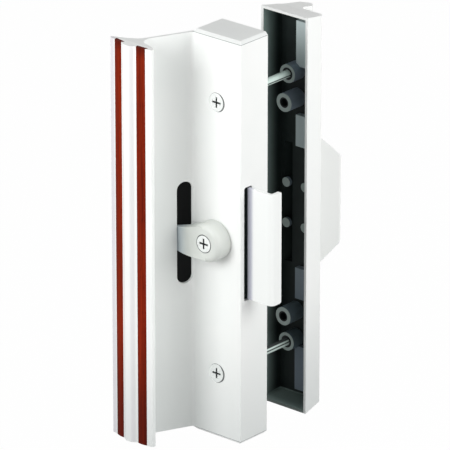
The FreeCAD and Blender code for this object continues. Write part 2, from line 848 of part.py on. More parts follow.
def build_lever_cam(doc):
    """A disc keyed to the lever's shank, with an eccentric boss that stands into the clamp plate's slot."""
    body = new_body(doc, "lever_cam")
    place(body, across=-size("pivot_across"))
    disc = new_sketch(body, "CamDisc", "XZ_Plane", up=CAM_BACK)
    draw_circle(disc, 0, 0, size("cam_radius"))
    half_key = size("key_width") / 2 + size("cam_key_gap")
    draw_box(disc, -half_key, -half_key, half_key, half_key)
    pad(body, "Disc", disc, size("cam_thickness"))
    boss = new_sketch(body, "Eccentric", "XZ_Plane", up=CAM_BACK)
    draw_circle(boss, 0, -size("eccentric_offset"), size("eccentric_radius"))
    draw_circle(boss, 0, 0, size("screw_radius") + 0.02)
    pad(body, "EccentricBoss", boss, size("eccentric_length"), reverse=True)
    return body


def build_cam_spring(doc):
    """A dished spring washer between the front wall and the cam."""
    body = new_body(doc, "cam_spring")
    place(body, across=-size("pivot_across"))
    section = new_sketch(body, "SpringSection", "XY_Plane")
    inside, outside = size("cam_spring_inside"), size("cam_spring_outside")
    sheet = size("cam_spring_sheet")
    gap = 0.02
    draw_outline(section, [(inside, gap - FRONT_INSIDE), (outside, -CAM_FRONT - sheet - gap),
                           (outside, -CAM_FRONT - gap), (inside, gap - FRONT_INSIDE + sheet)])
    turned = body.newObject("PartDesign::Revolution", "Spring")
    turned.Profile = section
    turned.ReferenceAxis = (section, ["V_Axis"])
    turned.Angle = 360
    section.Visibility = False
    return body


def draw_ear(sketch, root, radius):
    """An ear's outline that runs from a root line to a round end about the hinge."""
    x, y = size("hinge_across"), -size("hinge_out")
    if as_size(root).value < y.value:
        draw_outline(sketch, [(x - radius, root), (x + radius, root), (x + radius, y, HALF_ROUND), (x - radius, y)])
    else:
        draw_outline(sketch, [(x + radius, root), (x - radius, root), (x - radius, y, HALF_ROUND), (x + radius, y)])


def build_latch_frame(doc):
    """A steel strip behind the box, held by the mounting screws, with two ears that carry the hinge pin."""
    body = new_body(doc, "latch_frame")
    half = HALF_BOX - size("side_wall") - size("frame_side_gap")
    strip = new_sketch(body, "FrameStrip", "XZ_Plane")
    draw_box(strip, -half, -size("frame_half_length"), half, size("frame_half_length"))
    for side in (-1, 1):
        draw_circle(strip, 0, side * SCREW_HEIGHT, size("screw_hole_radius") + 0.3)
    pad(body, "Strip", strip, size("frame_thickness"))
    for name, side in (("Upper", 1), ("Lower", -1)):
        ear = new_sketch(body, f"{name}Ear", "XY_Plane", up=side * size("frame_ear_start"))
        draw_ear(ear, -size("frame_thickness") + 0.5, size("ear_radius"))
        draw_circle(ear, size("hinge_across"), -size("hinge_out"), size("pin_radius"))
        pad(body, f"{name}EarPad", ear, size("ear_thickness"), reverse=side < 0)
    return body


def build_hinge_pin(doc):
    """The clamp plate's hinge pin: a head above the upper ear, and a groove for its clip below the lower ear."""
    ear_end = size("frame_ear_start") + size("ear_thickness")
    tail_end = ear_end + size("pin_tail")
    shaft = primitive(doc, "Cylinder", "PinShaft", Radius=size("pin_radius"), Height=ear_end + tail_end)
    place(shaft, up=-tail_end)
    head = primitive(doc, "Cylinder", "PinHead", Radius=size("pin_head_radius"), Height=size("pin_head_height"))
    place(head, up=ear_end)
    outside = primitive(doc, "Cylinder", "PinGrooveOutside", Radius=size("pin_head_radius"),
                        Height=size("clip_thickness") + 0.1)
    inside = primitive(doc, "Cylinder", "PinGrooveInside", Radius=size("clip_groove_radius"),
                       Height=size("clip_thickness") + 0.1)
    groove = cut(doc, "PinGroove", outside, inside)
    place(groove, up=-ear_end - size("clip_thickness") - 0.1)
    item = cut(doc, "hinge_pin", fuse(doc, "PinBlank", [shaft, head]), groove)
    place(item, size("hinge_across"), -size("hinge_out"))


def build_pin_clip(doc):
    """A snap ring with an open mouth, in the hinge pin's groove."""
    body = new_body(doc, "pin_clip")
    place(body, size("hinge_across"), -size("hinge_out"))
    low = -size("frame_ear_start") - size("ear_thickness") - size("clip_thickness") - 0.05
    ring = new_sketch(body, "ClipRing", "XY_Plane", up=low)
    draw_circle(ring, 0, 0, size("clip_radius"))
    draw_circle(ring, 0, 0, size("clip_groove_radius") + 0.02)
    pad(body, "Ring", ring, size("clip_thickness"))
    mouth = new_sketch(body, "ClipMouth", "XY_Plane", up=low - 1)
    half = size("clip_mouth") / 2
    draw_box(mouth, -half, -size("clip_radius") - 1, half, 0)
    pocket(body, "Mouth", mouth, size("clip_thickness") + 2, reverse=True)
    return body


def build_clamp_plate(doc):
    """A pressed plate: it steps forward inside the box, leaves it through its window as a flat leaf, and is bent
    back at its end into a hook, with two ears that turn on the hinge pin and a slot that takes the cam's eccentric."""
    body = new_body(doc, "clamp_plate")
    front, leaf, sheet = size("plate_front"), size("leaf_front"), size("plate_thickness")
    start, stop = size("joggle_start_across"), size("joggle_end_across")
    end, end_out = size("hook_across"), size("hook_end_out")
    left = -size("plate_left_across")
    setback = size("joggle_setback")
    section = new_sketch(body, "PlateSection", "XY_Plane")
    draw_outline(section, [
        (left, -front), (start, -front), (stop, -leaf), (end, -leaf), (end, -end_out), (end - sheet, -end_out),
        (end - sheet, sheet - leaf), (stop + setback, sheet - leaf), (start + setback, sheet - front),
        (left, sheet - front)])
    pad(body, "Plate", section, size("plate_half_height") * 2, both_ways=True)
    fillet(body, "HookOutside", size("hook_outside_radius"), upright_at([(end, -leaf)]))
    fillet(body, "HookInside", size("hook_inside_radius"), upright_at([(end - sheet, sheet - leaf)]))
    end_y = -end_out.value
    top = SIZES["plate_half_height"]

    def hook_corner(edge):
        box = box_of(edge)
        return near(box.YMin, end_y) and near(box.YMax, end_y) and box.ZLength < 1e-3 and near(abs(box.ZMin), top)

    fillet(body, "HookCorners", size("hook_corner_radius"), hook_corner)
    for name, side in (("Upper", 1), ("Lower", -1)):
        ear = new_sketch(body, f"{name}Ear", "XY_Plane", up=side * size("plate_ear_inner"))
        draw_ear(ear, sheet / 2 - leaf, size("ear_radius"))
        pad(body, f"{name}EarPad", ear, size("plate_half_height") - size("plate_ear_inner"), reverse=side < 0)
    eye = new_sketch(body, "PinEyes", "XY_Plane")
    draw_circle(eye, size("hinge_across"), -size("hinge_out"), size("pin_radius") + size("running_gap"))
    pocket(body, "PinEyesCut", eye, size("plate_half_height") * 4, both_ways=True)
    slot = new_sketch(body, "EccentricSlot", "XZ_Plane", up=front + 1)
    radius = size("eccentric_radius") + size("eccentric_slot_gap")
    draw_slot(slot, -size("pivot_across"), -size("eccentric_offset"), radius + size("eccentric_slot_rise"), radius)
    pocket(body, "EccentricSlotCut", slot, sheet + 2)
    return body


def build_lever_guard(doc):
    """A nylon angle riveted to the box's side, whose long leg screens the lever's arm from the door."""
    body = new_body(doc, "lever_guard")
    sheet, reach = size("guard_sheet"), size("guard_reach")
    out, back = size("guard_out"), size("guard_back_out")
    section = new_sketch(body, "GuardSection", "XY_Plane")
    draw_outline(section, [(-HALF_BOX, -out), (-HALF_BOX, -back), (-HALF_BOX - sheet, -back),
                           (-HALF_BOX - sheet, sheet - out), (-reach, sheet - out), (-reach, -out)])
    pad(body, "Guard", section, size("guard_half_height") * 2, both_ways=True)
    end_x = -reach.value
    top = SIZES["guard_half_height"]

    def guard_corner(edge):
        box = box_of(edge)
        return near(box.XMin, end_x) and near(box.XMax, end_x) and box.ZLength < 1e-3 and near(abs(box.ZMin), top)

    fillet(body, "GuardCorners", size("guard_corner_radius"), guard_corner)
    holes = new_sketch(body, "GuardHoles", "YZ_Plane", up=-HALF_BOX - sheet - 1)
    for side in (-1, 1):
        draw_circle(holes, -size("rivet_out"), side * size("rivet_height"), size("rivet_radius"))
    pocket(body, "GuardHolesCut", holes, sheet + 2, reverse=True)
    return body


def build_guard_rivets(doc):
    """Two rivets through the guard and the box's side wall, each with a flat head outside and an upset tail."""
    grip = size("guard_sheet") + size("side_wall")
    head = size("rivet_head_height")
    for name, side in (("upper", 1), ("lower", -1)):
        ends = []
        for end, height in (("Head", -head), ("Tail", grip)):
            disc = primitive(doc, "Cylinder", f"{name.title()}Rivet{end}", Radius=size("rivet_head_radius"), Height=head)
            place(disc, up=height)
            ends.append(disc)
        shank = primitive(doc, "Cylinder", f"{name.title()}RivetShank", Radius=size("rivet_radius"), Height=grip + 0.4)
        place(shank, up=-0.2)
        rivet = fuse(doc, f"{name}_guard_rivet", ends + [shank])
        place(rivet, -HALF_BOX - size("guard_sheet"), -size("rivet_out"), side * size("rivet_height"),
              axis=(0, 1, 0), angle=90)


def build_outside_pull(doc):
    """The cast outside pull: a hollow case against the door, a leaning fin along it and a taller horn midway."""
    body = new_body(doc, "outside_pull")
    rim, back = size("door_thickness"), size("case_back")
    left, right = -size("rim_left"), size("rim_right")
    foot = (-size("fin_foot_left"), back)
    lip = (size("fin_lip_right"), size("fin_lip_out"))
    fin_end = (-size("fin_end_left"), size("fin_end_out"))
    shoulder = (-size("fin_shoulder_left"), size("fin_shoulder_out"))
    root = (-size("fin_root_left"), size("fin_root_out"))
    case = new_sketch(body, "CaseSection", "XY_Plane")
    draw_outline(case, [(left, rim), (right, rim), (size("case_back_right"), back), foot, lip, fin_end, shoulder,
                        root])
    pad(body, "Case", case, size("case_length"), both_ways=True)
    fillet(body, "FinEnd", size("fin_end_radius"), upright_at([fin_end, lip]))
    horn_outer = (size("horn_outer_right"), size("horn_outer_out"))
    horn_tip = (size("horn_tip_right"), size("horn_tip_out"))
    horn = new_sketch(body, "HornSection", "XY_Plane")
    draw_outline(horn, [foot, lip, horn_tip, horn_outer, shoulder, (-size("core_left"), back)])
    pad(body, "Horn", horn, size("horn_half_root") * 2, both_ways=True)
    trim_horn(body)
    slant_ends(body)
    fillet(body, "CaseCorner", size("case_corner_radius"), upright_at([(size("case_back_right"), back)]))
    fillet(body, "FinFoot", size("fin_foot_radius"), upright_at([foot]))
    fillet(body, "HornEnd", size("horn_end_radius"), upright_at([horn_outer, horn_tip]))
    hollow_case(body)
    add_bosses(body)
    return body


def trim_horn(body):
    """Slants both ends of the horn, from its root on the fin up to its shorter crest."""
    low, high = size("fin_shoulder_out") + 1.5, size("horn_outer_out") + 1
    slope = (size("horn_half_root") - size("horn_half_end")) / (size("horn_outer_out") - low)
    inner = size("horn_half_root") - (high - low) * slope
    outer = size("horn_half_root") + 1
    for name, side in (("Upper", 1), ("Lower", -1)):
        slant = new_sketch(body, f"{name}Slant", "YZ_Plane")
        draw_outline(slant, [(low, side * size("horn_half_root")), (high, side * inner), (high, side * outer),
                             (low, side * outer)])
        pocket(body, f"{name}SlantCut", slant, 60, both_ways=True)


def slant_ends(body):
    """Cuts both ends of the case back from the rim to the fin, as a casting's draft."""
    rim, stop = size("door_thickness"), size("end_fall_out")
    top = size("case_length") / 2
    clear = size("horn_outer_out") + 1
    for name, side in (("Upper", 1), ("Lower", -1)):
        draft = new_sketch(body, f"{name}Draft", "YZ_Plane")
        draw_outline(draft, [(rim, side * top), (stop, side * (top - size("end_fall"))),
                             (clear, side * (top - size("end_fall"))), (clear, side * (top + 1)),
                             (rim, side * (top + 1))])
        pocket(body, f"{name}DraftCut", draft, 60, both_ways=True)


def hollow_case(body):
    """The case's cavity, which narrows with depth on all four sides, and the narrow core that runs into the horn."""
    rim, wall, floor = size("door_thickness"), size("case_wall"), size("case_floor")
    cavity = new_sketch(body, "CavityMouth", "XZ_Plane", up=-rim)
    draw_box(cavity, wall - size("rim_left"), wall - size("case_length") / 2, size("rim_right") - wall,
             size("case_length") / 2 - wall)
    depth = pocket(body, "Cavity", cavity, floor - rim)
    depth.TaperAngle = -SIZES["cavity_taper"]
    bind(depth, "TaperAngle", -size("cavity_taper"))
    core = new_sketch(body, "CoreSection", "XY_Plane")
    draw_outline(core, [(-size("core_left"), floor - 1), (-size("core_right"), floor - 1),
                        (-size("core_end_right"), size("core_out")), (-size("core_end_left"), size("core_out"))])
    pocket(body, "Core", core, size("core_half_length") * 2, both_ways=True)


def add_bosses(body):
    """Screw bosses, spare bosses, pegs and thickened pads inside the case, standing on its floor."""
    floor = size("case_floor") + 0.5
    spare_height = size("spare_boss_spacing") / 2
    pairs = [("Screw", SCREW_HEIGHT, size("boss_face")), ("Spare", spare_height, size("spare_boss_face"))]
    for name, height, face in pairs:
        boss = new_sketch(body, f"{name}Bosses", "XZ_Plane", up=-face)
        for side in (-1, 1):
            draw_circle(boss, 0, side * height, size("boss_radius"))
        pad(body, f"{name}BossPad", boss, floor - face, reverse=True)
    pegs = new_sketch(body, "Pegs", "XZ_Plane", up=-size("peg_face"))
    for x in (-1, 1):
        for z in (-1, 1):
            draw_circle(pegs, x * size("peg_across"), z * size("peg_height"), size("peg_radius"))
    pad(body, "PegPad", pegs, floor - size("peg_face"), reverse=True)
    pads = new_sketch(body, "SidePads", "XZ_Plane", up=-size("pad_face"))
    wall_middle = size("rim_right") - size("case_wall") * 1.6
    for low, high in (("pad_inner_low", "pad_inner_high"), ("pad_outer_low", "pad_outer_high")):
        draw_box(pads, size("pad_left"), size(low), wall_middle, size(high))
        draw_box(pads, size("pad_left"), -size(high), wall_middle, -size(low))
    pad(body, "SidePadPad", pads, floor - size("pad_face"), reverse=True)
    holes = [("Screw", SCREW_HEIGHT, size("boss_face"), size("boss_hole_radius"), size("boss_hole_end")),
             ("Spare", spare_height, size("spare_boss_face"), size("spare_hole_radius"), size("boss_hole_end"))]
    for name, height, face, radius, end in holes:
        hole = new_sketch(body, f"{name}Holes", "XZ_Plane", up=1 - face)
        for side in (-1, 1):
            draw_circle(hole, 0, side * height, radius)
        pocket(body, f"{name}HolesCut", hole, end - face + 1)


def check_document(doc):
    """Stops on any object that failed, and on any piece whose shape is empty or invalid."""
    failed = [item.Label for item in doc.Objects if "Invalid" in item.State or "Error" in item.State]
    if failed:
        raise RuntimeError(f"these objects failed: {failed}")


def export_pieces(doc, names):
    os.makedirs("parts", exist_ok=True)
    for name in names:
        shape = doc.getObjectsByLabel(name)[0].Shape
        if shape.isNull() or not shape.isValid() or not shape.Solids:
            raise RuntimeError(f"{name} has no valid solid")
        shape.exportStep(f"parts/{name}.step")
        print(f"{name}: {len(shape.Solids)} solid, {shape.Volume:.0f} cubic mm")


PIECES = [
    "inside_pull", "top_end_cap", "bottom_end_cap", "outer_wood_strip", "inner_wood_strip",
    "upper_mounting_screw", "lower_mounting_screw", "lever_guard", "upper_guard_rivet", "lower_guard_rivet",
    "latch_frame", "hinge_pin", "pin_clip", "outside_pull", "thumb_lever", "lever_screw", "lever_cam",
    "cam_spring", "lever_washer", "clamp_plate",
]


def main():
    doc = FreeCAD.newDocument("PatioDoorHandle")
    fill_sheet(doc)
    build_inside_pull(doc)
    build_end_cap(doc, "top_end_cap", 0)
    build_end_cap(doc, "bottom_end_cap", 180)
    for which in ("outer", "inner"):
        build_wood_strip(doc, which)
    build_mounting_screws(doc)
    build_thumb_lever(doc)
    build_lever_washer(doc)
    build_lever_screw(doc)
    build_lever_cam(doc)
    build_cam_spring(doc)
    build_latch_frame(doc)
    build_hinge_pin(doc)
    build_pin_clip(doc)
    build_clamp_plate(doc)
    build_lever_guard(doc)
    build_guard_rivets(doc)
    build_outside_pull(doc)
    doc.recompute()
    check_document(doc)
    export_pieces(doc, PIECES)


main()
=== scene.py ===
import math

import bpy
import numpy as np
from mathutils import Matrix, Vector


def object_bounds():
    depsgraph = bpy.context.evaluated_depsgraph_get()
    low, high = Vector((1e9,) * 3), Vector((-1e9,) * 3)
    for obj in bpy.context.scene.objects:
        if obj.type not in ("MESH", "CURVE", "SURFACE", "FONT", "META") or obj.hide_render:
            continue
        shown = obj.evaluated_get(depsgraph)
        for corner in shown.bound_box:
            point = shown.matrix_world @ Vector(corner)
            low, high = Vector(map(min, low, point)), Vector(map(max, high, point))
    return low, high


# Looks of a sliding patio door handle set: white enamelled inside pull with two red wood strips, a white thumb
# lever and clamp plate, and a white cast outside pull whose bare hollow shows its bosses. Some shades are painted on
# by place, after the photograph's light. A pair named _FADE gives the places where such a shade starts and is full.

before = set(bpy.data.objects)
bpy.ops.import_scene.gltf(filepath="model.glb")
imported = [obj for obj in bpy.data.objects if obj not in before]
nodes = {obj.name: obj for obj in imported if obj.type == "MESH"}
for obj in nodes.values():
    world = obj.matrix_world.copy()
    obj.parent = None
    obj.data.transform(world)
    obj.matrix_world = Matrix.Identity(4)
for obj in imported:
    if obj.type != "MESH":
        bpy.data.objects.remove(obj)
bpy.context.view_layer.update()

MM = 0.001

# Places on the object, in the frame's own millimetres

DOOR_THICKNESS = 25.4
SCREW_HEIGHT = 62.7
SPARE_HEIGHT = 50.0
HALF_LENGTH = 91.5
BOX_FACE_Y = -17.5
PIVOT_X = -0.5
LEVER_FACE_Y = -25.6
BOX_SIDE_X = 13.5

# Camera fitted to the photograph's edges, with its target near the box's left wall

CAMERA_AZIMUTH = 41.02
CAMERA_ELEVATION = 21.94
CAMERA_DISTANCE = 2512.0
CAMERA_LENS = 464.0
SENSOR = 36.0
TARGET = (-13.5, 0.0, -2.41)
TARGET_RIGHT = 2.19


class Signal:
    """A number that varies over a surface. Python operators on it add Math nodes."""

    def __init__(self, paint, socket):
        self.paint = paint
        self.socket = socket

    def math(self, operation, *others):
        return self.paint.math(operation, self, *others)

    def __add__(self, other):
        return self.math("ADD", other)

    __radd__ = __add__

    def __sub__(self, other):
        return self.math("SUBTRACT", other)

    def __rsub__(self, other):
        return self.paint.math("SUBTRACT", other, self)

    def __mul__(self, other):
        return self.math("MULTIPLY", other)

    __rmul__ = __mul__

    def __truediv__(self, other):
        return self.math("DIVIDE", other)

    def size(self):
        return self.math("ABSOLUTE")

    def clamp(self):
        return self.math("MAXIMUM", 0.0).math("MINIMUM", 1.0)

    def step(self, low, high):
        """0 below low, 1 above high and a smooth rise between; low may be the greater, for a fall."""
        share = ((self - low) / (high - low)).clamp()
        return share * share * (3.0 - 2.0 * share)


class Paint:
    """A material under construction, with one Principled shader."""

    def __init__(self, name):
        self.material = bpy.data.materials.new(name)
        self.material.use_nodes = True
        self.tree = self.material.node_tree
        self.shader = self.tree.nodes["Principled BSDF"]
        self.place = self.node("ShaderNodeTexCoord").outputs["Object"]

    def link(self, value, socket):
        if isinstance(value, Signal):
            value = value.socket
        if isinstance(value, bpy.types.NodeSocket):
            self.tree.links.new(value, socket)
        else:
            socket.default_value = value

    def node(self, kind, settings=None, inputs=None):
        """Any node: its settings first, then the values or links of its sockets, by name or number."""
        node = self.tree.nodes.new(kind)
        for field, value in (settings or {}).items():
            setattr(node, field, value)
        for socket, value in (inputs or {}).items():
            self.link(value, node.inputs[socket])
        return node

    def math(self, operation, *values):
        node = self.node("ShaderNodeMath", {"operation": operation}, dict(enumerate(values)))
        return Signal(self, node.outputs[0])

    def axes(self):
        """The point's X, Y and Z on the object, in millimetres."""
        split = self.node("ShaderNodeSeparateXYZ", inputs={0: self.place})
        return [Signal(self, split.outputs[axis]) / MM for axis in "XYZ"]

    def from_axes(self, across, heights):
        """The distance to the nearest of some lines along Y, each at a place across and up."""
        x, _, z = self.axes()
        least = None
        for height in heights:
            side, rise = x - across, z - height
            distance = (side * side + rise * rise).math("SQRT")
            least = distance if least is None else least.math("MINIMUM", distance)
        return least

    def stretched(self, scale):
        """The point's place, scaled along each axis."""
        return self.node("ShaderNodeMapping", inputs={"Vector": self.place, "Scale": scale}).outputs[0]

    def noise(self, size, detail=3.0, rough=0.5, stretch=(1.0, 1.0, 1.0), seed=0.0):
        """Noise from 0 to 1 whose features are about size millimetres, stretched along an axis by its factor."""
        scale = [1.0 / factor for factor in stretch]
        inputs = {"Vector": self.stretched(scale), "W": seed, "Scale": 1.0 / (size * MM), "Detail": detail,
                  "Roughness": rough}
        return Signal(self, self.node("ShaderNodeTexNoise", {"noise_dimensions": "4D"}, inputs).outputs[0])

    def mix(self, share, first, second):
        """The first colour where share is 0 and the second where it is 1."""
        node = self.node("ShaderNodeMix", {"data_type": "RGBA", "clamp_factor": True})
        self.link(share, node.inputs[0])
        self.link(colour(first), node.inputs[6])
        self.link(colour(second), node.inputs[7])
        return node.outputs[2]

    def bump(self, height, distance, strength=1.0):
        """Raises the surface by height times distance, in millimetres."""
        node = self.node("ShaderNodeBump", inputs={"Height": height, "Distance": distance * MM, "Strength": strength})
        self.link(node.outputs[0], self.shader.inputs["Normal"])

    def set(self, **sockets):
        names = {"base": "Base Color", "rough": "Roughness", "metal": "Metallic", "coat": "Coat Weight",
                 "coat_rough": "Coat Roughness", "specular": "Specular IOR Level"}
        for short, value in sockets.items():
            self.link(colour(value), self.shader.inputs[names[short]])
        return self


def colour(value):
    """A three-part colour gets its alpha; anything else stays."""
    return (*value, 1.0) if isinstance(value, tuple) and len(value) == 3 else value


# Enamel whites. The foot, web and lilac tones are painted shade: darker towards the foot, greyer on the web,
# lilac-grey on the grip's left lip and flank.
WHITE = (0.86, 0.88, 0.865)
WHITE_WARM = (0.89, 0.9, 0.885)
WHITE_FOOT_SHADE = (0.69, 0.715, 0.705)
WHITE_SHADE = (0.7, 0.73, 0.715)
WHITE_LILAC_SHADE = (0.6, 0.58, 0.63)


# Painted shade in the screws' countersinks
PAINTED_GAP_SHADE = (0.03, 0.04, 0.04)


WEB_ACROSS_FADE = (-13.6, -15.0)
WEB_OUT_FADE = (-44.5, -43.0)
LIP_FADE = (-33.0, -33.6)
FLANK_LEFT_FADE = (-22.8, -22.4)
FLANK_RIGHT_FADE = (-20.6, -21.0)
FLANK_OUT_FADE = (-46.0, -46.6)
PULL_FOOT_FADE = (-30.0, -105.0)
SINK_RADIUS_FADE = (4.7, 4.5)
SINK_TOP_FADE = (0.02, 0.12)
SINK_FLOOR_FADE = (-13.0, -13.5)


def pull_enamel(name):
    """White baked enamel over the fine lines of an extrusion along Z, with painted shade: in the screws'
    countersinks, towards the foot, greyer on the web, and lilac-grey on the grip's left lip and flank.
    """
    paint = Paint(name)
    x, y, z = paint.axes()
    peel = paint.noise(1.1, detail=2.0)
    cloud = paint.noise(26.0, detail=2.0, seed=3.0)
    lines = paint.noise(0.5, detail=2.0, stretch=(1.0, 1.0, 90.0), seed=5.0)
    reach = paint.from_axes(0.0, (SCREW_HEIGHT, -SCREW_HEIGHT))
    # Painted shade in the countersinks round the mounting screws
    sinks = reach.step(*SINK_RADIUS_FADE) * (y - BOX_FACE_Y).step(*SINK_TOP_FADE) * y.step(*SINK_FLOOR_FADE)
    web = x.step(*WEB_ACROSS_FADE) * y.step(*WEB_OUT_FADE)
    lip = x.step(*LIP_FADE) * 0.7
    flank = x.step(*FLANK_LEFT_FADE) * x.step(*FLANK_RIGHT_FADE) * y.step(*FLANK_OUT_FADE) * 0.3
    white = paint.mix(cloud.step(0.3, 0.7), WHITE, WHITE_WARM)
    white = paint.mix(z.step(*PULL_FOOT_FADE), white, WHITE_FOOT_SHADE)
    white = paint.mix(web * 0.4, white, WHITE_SHADE)
    white = paint.mix(lip.math("MAXIMUM", flank), white, WHITE_LILAC_SHADE)
    paint.set(base=paint.mix(sinks, white, PAINTED_GAP_SHADE), rough=0.3 + 0.12 * cloud, specular=0.45)
    paint.bump(peel * 0.6 + lines * 0.5, 0.012)
    return paint.material


# Painted shade on the clamp plate: dark inside the box, grey near the box's side
PLATE_INSIDE_SHADE = (0.012, 0.02, 0.02)
PLATE_SHADE = (0.5, 0.51, 0.58)
PLATE_INSIDE_FADE = (-0.2, 0.1)
PLATE_SHADE_FADE = (1.6, 3.6)


def plate_enamel(name):
    """White enamel on the clamp plate's hook, with painted shade: greyer near the box's side and dark inside the box.
    """
    paint = Paint(name)
    out = paint.axes()[0] - BOX_SIDE_X
    peel = paint.noise(1.1, detail=2.0)
    cloud = paint.noise(26.0, detail=2.0, seed=3.0)
    tone = paint.mix(out.step(*PLATE_SHADE_FADE), PLATE_SHADE, WHITE)
    tone = paint.mix(out.step(*PLATE_INSIDE_FADE), PLATE_INSIDE_SHADE, tone)
    paint.set(base=tone, rough=0.3 + 0.12 * cloud, specular=0.45)
    paint.bump(peel, 0.012)
    return paint.material


def nylon(name, low, high, rough, specular=0.45):
    """Moulded nylon: a fine even grain and slight clouding."""
    paint = Paint(name)
    cloud = paint.noise(9.0, detail=3.0)
    grain = paint.noise(0.35, detail=2.0, seed=2.0)
    paint.set(base=paint.mix(cloud, low, high), rough=rough + 0.1 * cloud, specular=specular)
    paint.bump(grain, 0.01)
    return paint.material


CAP_WHITE = (0.8, 0.82, 0.81)
CAP_JOINT = (0.3, 0.33, 0.33)
CAP_JOINT_FADE = (0.3, 0.2)


def cap_nylon(name):
    """White moulded nylon with a dark line where the cap meets the box."""
    paint = Paint(name)
    cloud = paint.noise(9.0, detail=3.0)
    grain = paint.noise(0.35, detail=2.0, seed=2.0)
    joint = (paint.axes()[2].size() - HALF_LENGTH).step(*CAP_JOINT_FADE)
    paint.set(base=paint.mix(joint, paint.mix(cloud, CAP_WHITE, WHITE), CAP_JOINT), rough=0.42 + 0.1 * cloud,
              specular=0.4)
    paint.bump(grain, 0.01)
    return paint.material


# Screw tones: the shafts' pale green is plating with a painted sheen; the dark tone is painted shade and shadow on
# head and shaft
SCREW_WHITE = (0.92, 0.94, 0.93)
SHAFT_PLATING_AND_SHEEN = (0.72, 0.86, 0.8)
SCREW_PAINTED_SHADE = (0.07, 0.08, 0.08)
HEAD_DEPTH_FADE = (3.3, 3.1)
RECESS_RADIUS_FADE = (2.6, 2.45)
RECESS_DEPTH_FADE = (0.03, 0.2)
CRESCENT_ASIDE = -0.5
CRESCENT_UP = 0.15
CRESCENT_RADIUS_FADE = (4.2, 4.4)
LINE_LOW_FADE = (-0.7, -0.5)
LINE_HIGH_FADE = (0.1, -0.1)
EDGE_FADE = (-1.1, -1.3)


def plated_screw(name, across, heights, face, crescent=0.0):
    """Bright smooth plating on a screw whose head lies at face. Painted shade darkens its cross recess, a painted
    shadow crescent may show at the head's right, and the shaft's pale green is its plating with a painted sheen, with
    a painted dark line and a painted dark lower edge along it."""
    paint = Paint(name)
    y, z = paint.axes()[1:]
    depth = y - face
    head = depth.step(*HEAD_DEPTH_FADE)
    # Painted shade in the cross recess, a painted shadow crescent at the head's right, and a painted dark line and
    # lower edge along the shaft
    recess = paint.from_axes(across, heights).step(*RECESS_RADIUS_FADE) * depth.step(*RECESS_DEPTH_FADE) * head
    aside = paint.from_axes(across + CRESCENT_ASIDE, [height + CRESCENT_UP for height in heights])
    right = aside.step(*CRESCENT_RADIUS_FADE) * head * crescent
    rise = z - heights[0] if len(heights) == 1 else z.size() - heights[0]
    line = rise.step(*LINE_LOW_FADE) * rise.step(*LINE_HIGH_FADE)
    edge = rise.step(*EDGE_FADE)
    streak = line.math("MAXIMUM", edge) * (1.0 - head)
    tone = paint.mix(head, SHAFT_PLATING_AND_SHEEN, SCREW_WHITE)
    tone = paint.mix(recess.math("MAXIMUM", right).math("MAXIMUM", streak), tone, SCREW_PAINTED_SHADE)
    paint.set(base=tone, metal=head * 0.4 * (1.0 - recess) + 0.1, rough=0.25 + 0.3 * recess)
    return paint.material


def zinc_plate(name, low=(0.6, 0.63, 0.62), high=(0.72, 0.74, 0.73), rough=0.28):
    """Bright zinc plating with soft blotches and fine turning marks."""
    paint = Paint(name)
    blotch = paint.noise(9.0, detail=3.0)
    marks = paint.noise(0.25, detail=2.0, seed=4.0)
    paint.set(base=paint.mix(blotch.step(0.3, 0.7), low, high), metal=1.0, rough=rough + 0.1 * blotch)
    paint.bump(marks, 0.004)
    return paint.material


WOOD_DARK = (0.03, 0.003, 0.002)
WOOD_MID = (0.09, 0.004, 0.0008)
WOOD_BRIGHT = (0.27, 0.022, 0.004)


WOOD_END = 6.0
WOOD_FOOT_FADE = (-30.0, -90.0)


def red_wood(name):
    """Stained strip wood: long grain along Z in two sizes, fine dark pores, darker ends, and painted shade darkening
    the foot.
    """
    paint = Paint(name)
    z = paint.axes()[2]
    broad = paint.noise(2.2, detail=4.0, rough=0.6, stretch=(1.0, 1.0, 30.0))
    fine = paint.noise(0.35, detail=3.0, rough=0.6, stretch=(1.0, 1.0, 60.0), seed=2.0)
    pores = paint.noise(0.22, detail=1.0, stretch=(1.0, 1.0, 14.0), seed=7.0).step(0.62, 0.72)
    tone = broad.step(0.3, 0.7) * 0.5 + fine.step(0.3, 0.7) * 0.5
    stain = paint.mix(tone, WOOD_MID, WOOD_BRIGHT)
    end = z.size().step(HALF_LENGTH - WOOD_END, HALF_LENGTH) * 0.55
    # Painted shade: the strip darkens towards its foot
    low = z.step(*WOOD_FOOT_FADE) * 0.6
    stain = paint.mix(end.math("MAXIMUM", low), stain, WOOD_DARK)
    stain = paint.mix(pores * 0.7, stain, WOOD_DARK)
    paint.set(base=stain, rough=0.5 + 0.2 * fine, specular=0.05)
    paint.bump(fine * 0.7 - pores * 0.8, 0.05)
    return paint.material


LEVER_WHITE = (0.61, 0.64, 0.61)
LEVER_WHITE_WARM = (0.65, 0.67, 0.635)
# Painted shade: blue-grey on the arm where it runs into the web's slot
LEVER_ARM_SHADE = (0.57, 0.64, 0.68)
ARM_SHADE_FADE = (8.5, 16.5)
LEVER_SINK_RADIUS_FADE = (4.4, 4.25)
LEVER_SINK_TOP_FADE = (0.02, 0.15)
LEVER_SINK_FLOOR_FADE = (4.5, 4.2)


